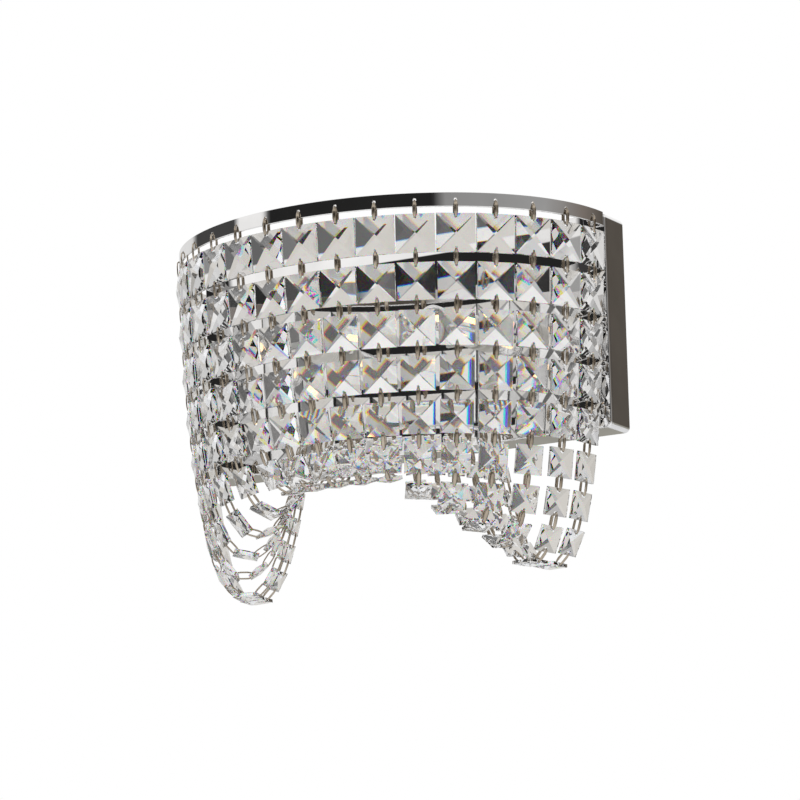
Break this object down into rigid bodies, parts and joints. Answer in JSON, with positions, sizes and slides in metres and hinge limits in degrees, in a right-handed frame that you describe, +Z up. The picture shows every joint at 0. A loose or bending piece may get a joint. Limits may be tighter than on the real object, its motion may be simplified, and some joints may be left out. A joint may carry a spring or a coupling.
{
  "type": "wall sconce",
  "caption": "Half-round wall light: a chromed back box and band hung with strands of square faceted crystals that curve in below to an inner rail.",
  "frame": {"origin": "on the wall plane, at the middle of the wall bracket and of the back box's outline", "axes": "+Y into the wall, +Z up, +X to the right when the sconce is seen from the room; the curtain stands out towards -Y"},
  "size_m": [0.264, 0.1362, 0.201],
  "materials": {
    "chromed_steel": "mirror polished",
    "zinc_steel": "zinc plated",
    "screw_steel": "nickel plated",
    "crystal": "clear, faceted and polished",
    "loop_wire": "warm nickel plated wire",
    "lamp_glass": "clear capsule",
    "ceramic": "unglazed white ceramic",
    "terminal_plastic": "moulded",
    "brass": "plain",
    "lead_sleeve": "heat resistant sleeve"
  },
  "bodies": {
    "fixture": {"back_box": "chromed_steel", "wall_bracket": "zinc_steel", "box_screws": "screw_steel", "curtain_band": "chromed_steel", "band_screws": "screw_steel", "inner_rail": "chromed_steel", "rail_nuts": "zinc_steel", "lamp_saddle_left": "zinc_steel", "lamp_saddle_right": "zinc_steel", "saddle_screws": "screw_steel", "lampholder_left": "ceramic", "lampholder_right": "ceramic", "terminal_block": "terminal_plastic", "terminal_screws": "brass", "earth_screw": "brass", "lead_left": "lead_sleeve", "lead_right": "lead_sleeve"},
    "lamp_left": {"bulb_left": "lamp_glass"},
    "lamp_right": {"bulb_right": "lamp_glass"},
    "strand_01": {"strand_01_crystals": "crystal", "strand_01_loops": "loop_wire"},
    "strand_02": {"strand_02_crystals": "crystal", "strand_02_loops": "loop_wire"},
    "strand_03": {"strand_03_crystals": "crystal", "strand_03_loops": "loop_wire"},
    "strand_04": {"strand_04_crystals": "crystal", "strand_04_loops": "loop_wire"},
    "strand_05": {"strand_05_crystals": "crystal", "strand_05_loops": "loop_wire"},
    "strand_06": {"strand_06_crystals": "crystal", "strand_06_loops": "loop_wire"},
    "strand_07": {"strand_07_crystals": "crystal", "strand_07_loops": "loop_wire"},
    "strand_08": {"strand_08_crystals": "crystal", "strand_08_loops": "loop_wire"},
    "strand_09": {"strand_09_crystals": "crystal", "strand_09_loops": "loop_wire"},
    "strand_10": {"strand_10_crystals": "crystal", "strand_10_loops": "loop_wire"},
    "strand_11": {"strand_11_crystals": "crystal", "strand_11_loops": "loop_wire"},
    "strand_12": {"strand_12_crystals": "crystal", "strand_12_loops": "loop_wire"},
    "strand_13": {"strand_13_crystals": "crystal", "strand_13_loops": "loop_wire"},
    "strand_14": {"strand_14_crystals": "crystal", "strand_14_loops": "loop_wire"},
    "strand_15": {"strand_15_crystals": "crystal", "strand_15_loops": "loop_wire"},
    "strand_16": {"strand_16_crystals": "crystal", "strand_16_loops": "loop_wire"},
    "strand_17": {"strand_17_crystals": "crystal", "strand_17_loops": "loop_wire"}
  },
  "joints": [
    {"name": "lamp_left_pull", "type": "slide", "parent": "fixture", "child": "lamp_left", "axis": [0, -1, 0], "range_m": [0, 0.02]},
    {"name": "lamp_right_pull", "type": "slide", "parent": "fixture", "child": "lamp_right", "axis": [0, -1, 0], "range_m": [0, 0.02]},
    {"name": "strand_01_swing", "type": "hinge", "parent": "fixture", "child": "strand_01", "pos_m": [0.12925, -0.03397, 0.05675], "axis": [-0.5142, 0.0455, -0.8564], "range_deg": [-1, 1]},
    {"name": "strand_02_swing", "type": "hinge", "parent": "fixture", "child": "strand_02", "pos_m": [0.124, -0.05555, 0.05675], "axis": [-0.496, 0.1347, -0.8578], "range_deg": [-1, 1]},
    {"name": "strand_03_swing", "type": "hinge", "parent": "fixture", "child": "strand_03", "pos_m": [0.11414, -0.07547, 0.05675], "axis": [-0.4603, 0.2186, -0.8604], "range_deg": [-1, 1]},
    {"name": "strand_04_swing", "type": "hinge", "parent": "fixture", "child": "strand_04", "pos_m": [0.10041, -0.09295, 0.05675], "axis": [-0.4087, 0.2943, -0.8639], "range_deg": [-1, 1]},
    {"name": "strand_05_swing", "type": "hinge", "parent": "fixture", "child": "strand_05", "pos_m": [0.08362, -0.10752, 0.05675], "axis": [-0.3435, 0.359, -0.8678], "range_deg": [-1, 1]},
    {"name": "strand_06_swing", "type": "hinge", "parent": "fixture", "child": "strand_06", "pos_m": [0.06455, -0.11896, 0.05675], "axis": [-0.2673, 0.4111, -0.8715], "range_deg": [-1, 1]},
    {"name": "strand_07_swing", "type": "hinge", "parent": "fixture", "child": "strand_07", "pos_m": [0.04387, -0.12715, 0.05675], "axis": [-0.1828, 0.4491, -0.8746], "range_deg": [-1, 1]},
    {"name": "strand_08_swing", "type": "hinge", "parent": "fixture", "child": "strand_08", "pos_m": [0.02218, -0.13206, 0.05675], "axis": [-0.0928, 0.4723, -0.8765], "range_deg": [-1, 1]},
    {"name": "strand_09_swing", "type": "hinge", "parent": "fixture", "child": "strand_09", "pos_m": [0, -0.1337, 0.05675], "axis": [0, 0.4801, -0.8772], "range_deg": [-1, 1]},
    {"name": "strand_10_swing", "type": "hinge", "parent": "fixture", "child": "strand_10", "pos_m": [-0.02218, -0.13206, 0.05675], "axis": [0.0928, 0.4723, -0.8765], "range_deg": [-1, 1]},
    {"name": "strand_11_swing", "type": "hinge", "parent": "fixture", "child": "strand_11", "pos_m": [-0.04387, -0.12715, 0.05675], "axis": [0.1828, 0.4491, -0.8746], "range_deg": [-1, 1]},
    {"name": "strand_12_swing", "type": "hinge", "parent": "fixture", "child": "strand_12", "pos_m": [-0.06455, -0.11896, 0.05675], "axis": [0.2673, 0.4111, -0.8715], "range_deg": [-1, 1]},
    {"name": "strand_13_swing", "type": "hinge", "parent": "fixture", "child": "strand_13", "pos_m": [-0.08362, -0.10752, 0.05675], "axis": [0.3435, 0.359, -0.8678], "range_deg": [-1, 1]},
    {"name": "strand_14_swing", "type": "hinge", "parent": "fixture", "child": "strand_14", "pos_m": [-0.10041, -0.09295, 0.05675], "axis": [0.4087, 0.2943, -0.8639], "range_deg": [-1, 1]},
    {"name": "strand_15_swing", "type": "hinge", "parent": "fixture", "child": "strand_15", "pos_m": [-0.11414, -0.07547, 0.05675], "axis": [0.4603, 0.2186, -0.8604], "range_deg": [-1, 1]},
    {"name": "strand_16_swing", "type": "hinge", "parent": "fixture", "child": "strand_16", "pos_m": [-0.124, -0.05555, 0.05675], "axis": [0.496, 0.1347, -0.8578], "range_deg": [-1, 1]},
    {"name": "strand_17_swing", "type": "hinge", "parent": "fixture", "child": "strand_17", "pos_m": [-0.12925, -0.03397, 0.05675], "axis": [0.5142, 0.0455, -0.8564], "range_deg": [-1, 1]}
  ]
}
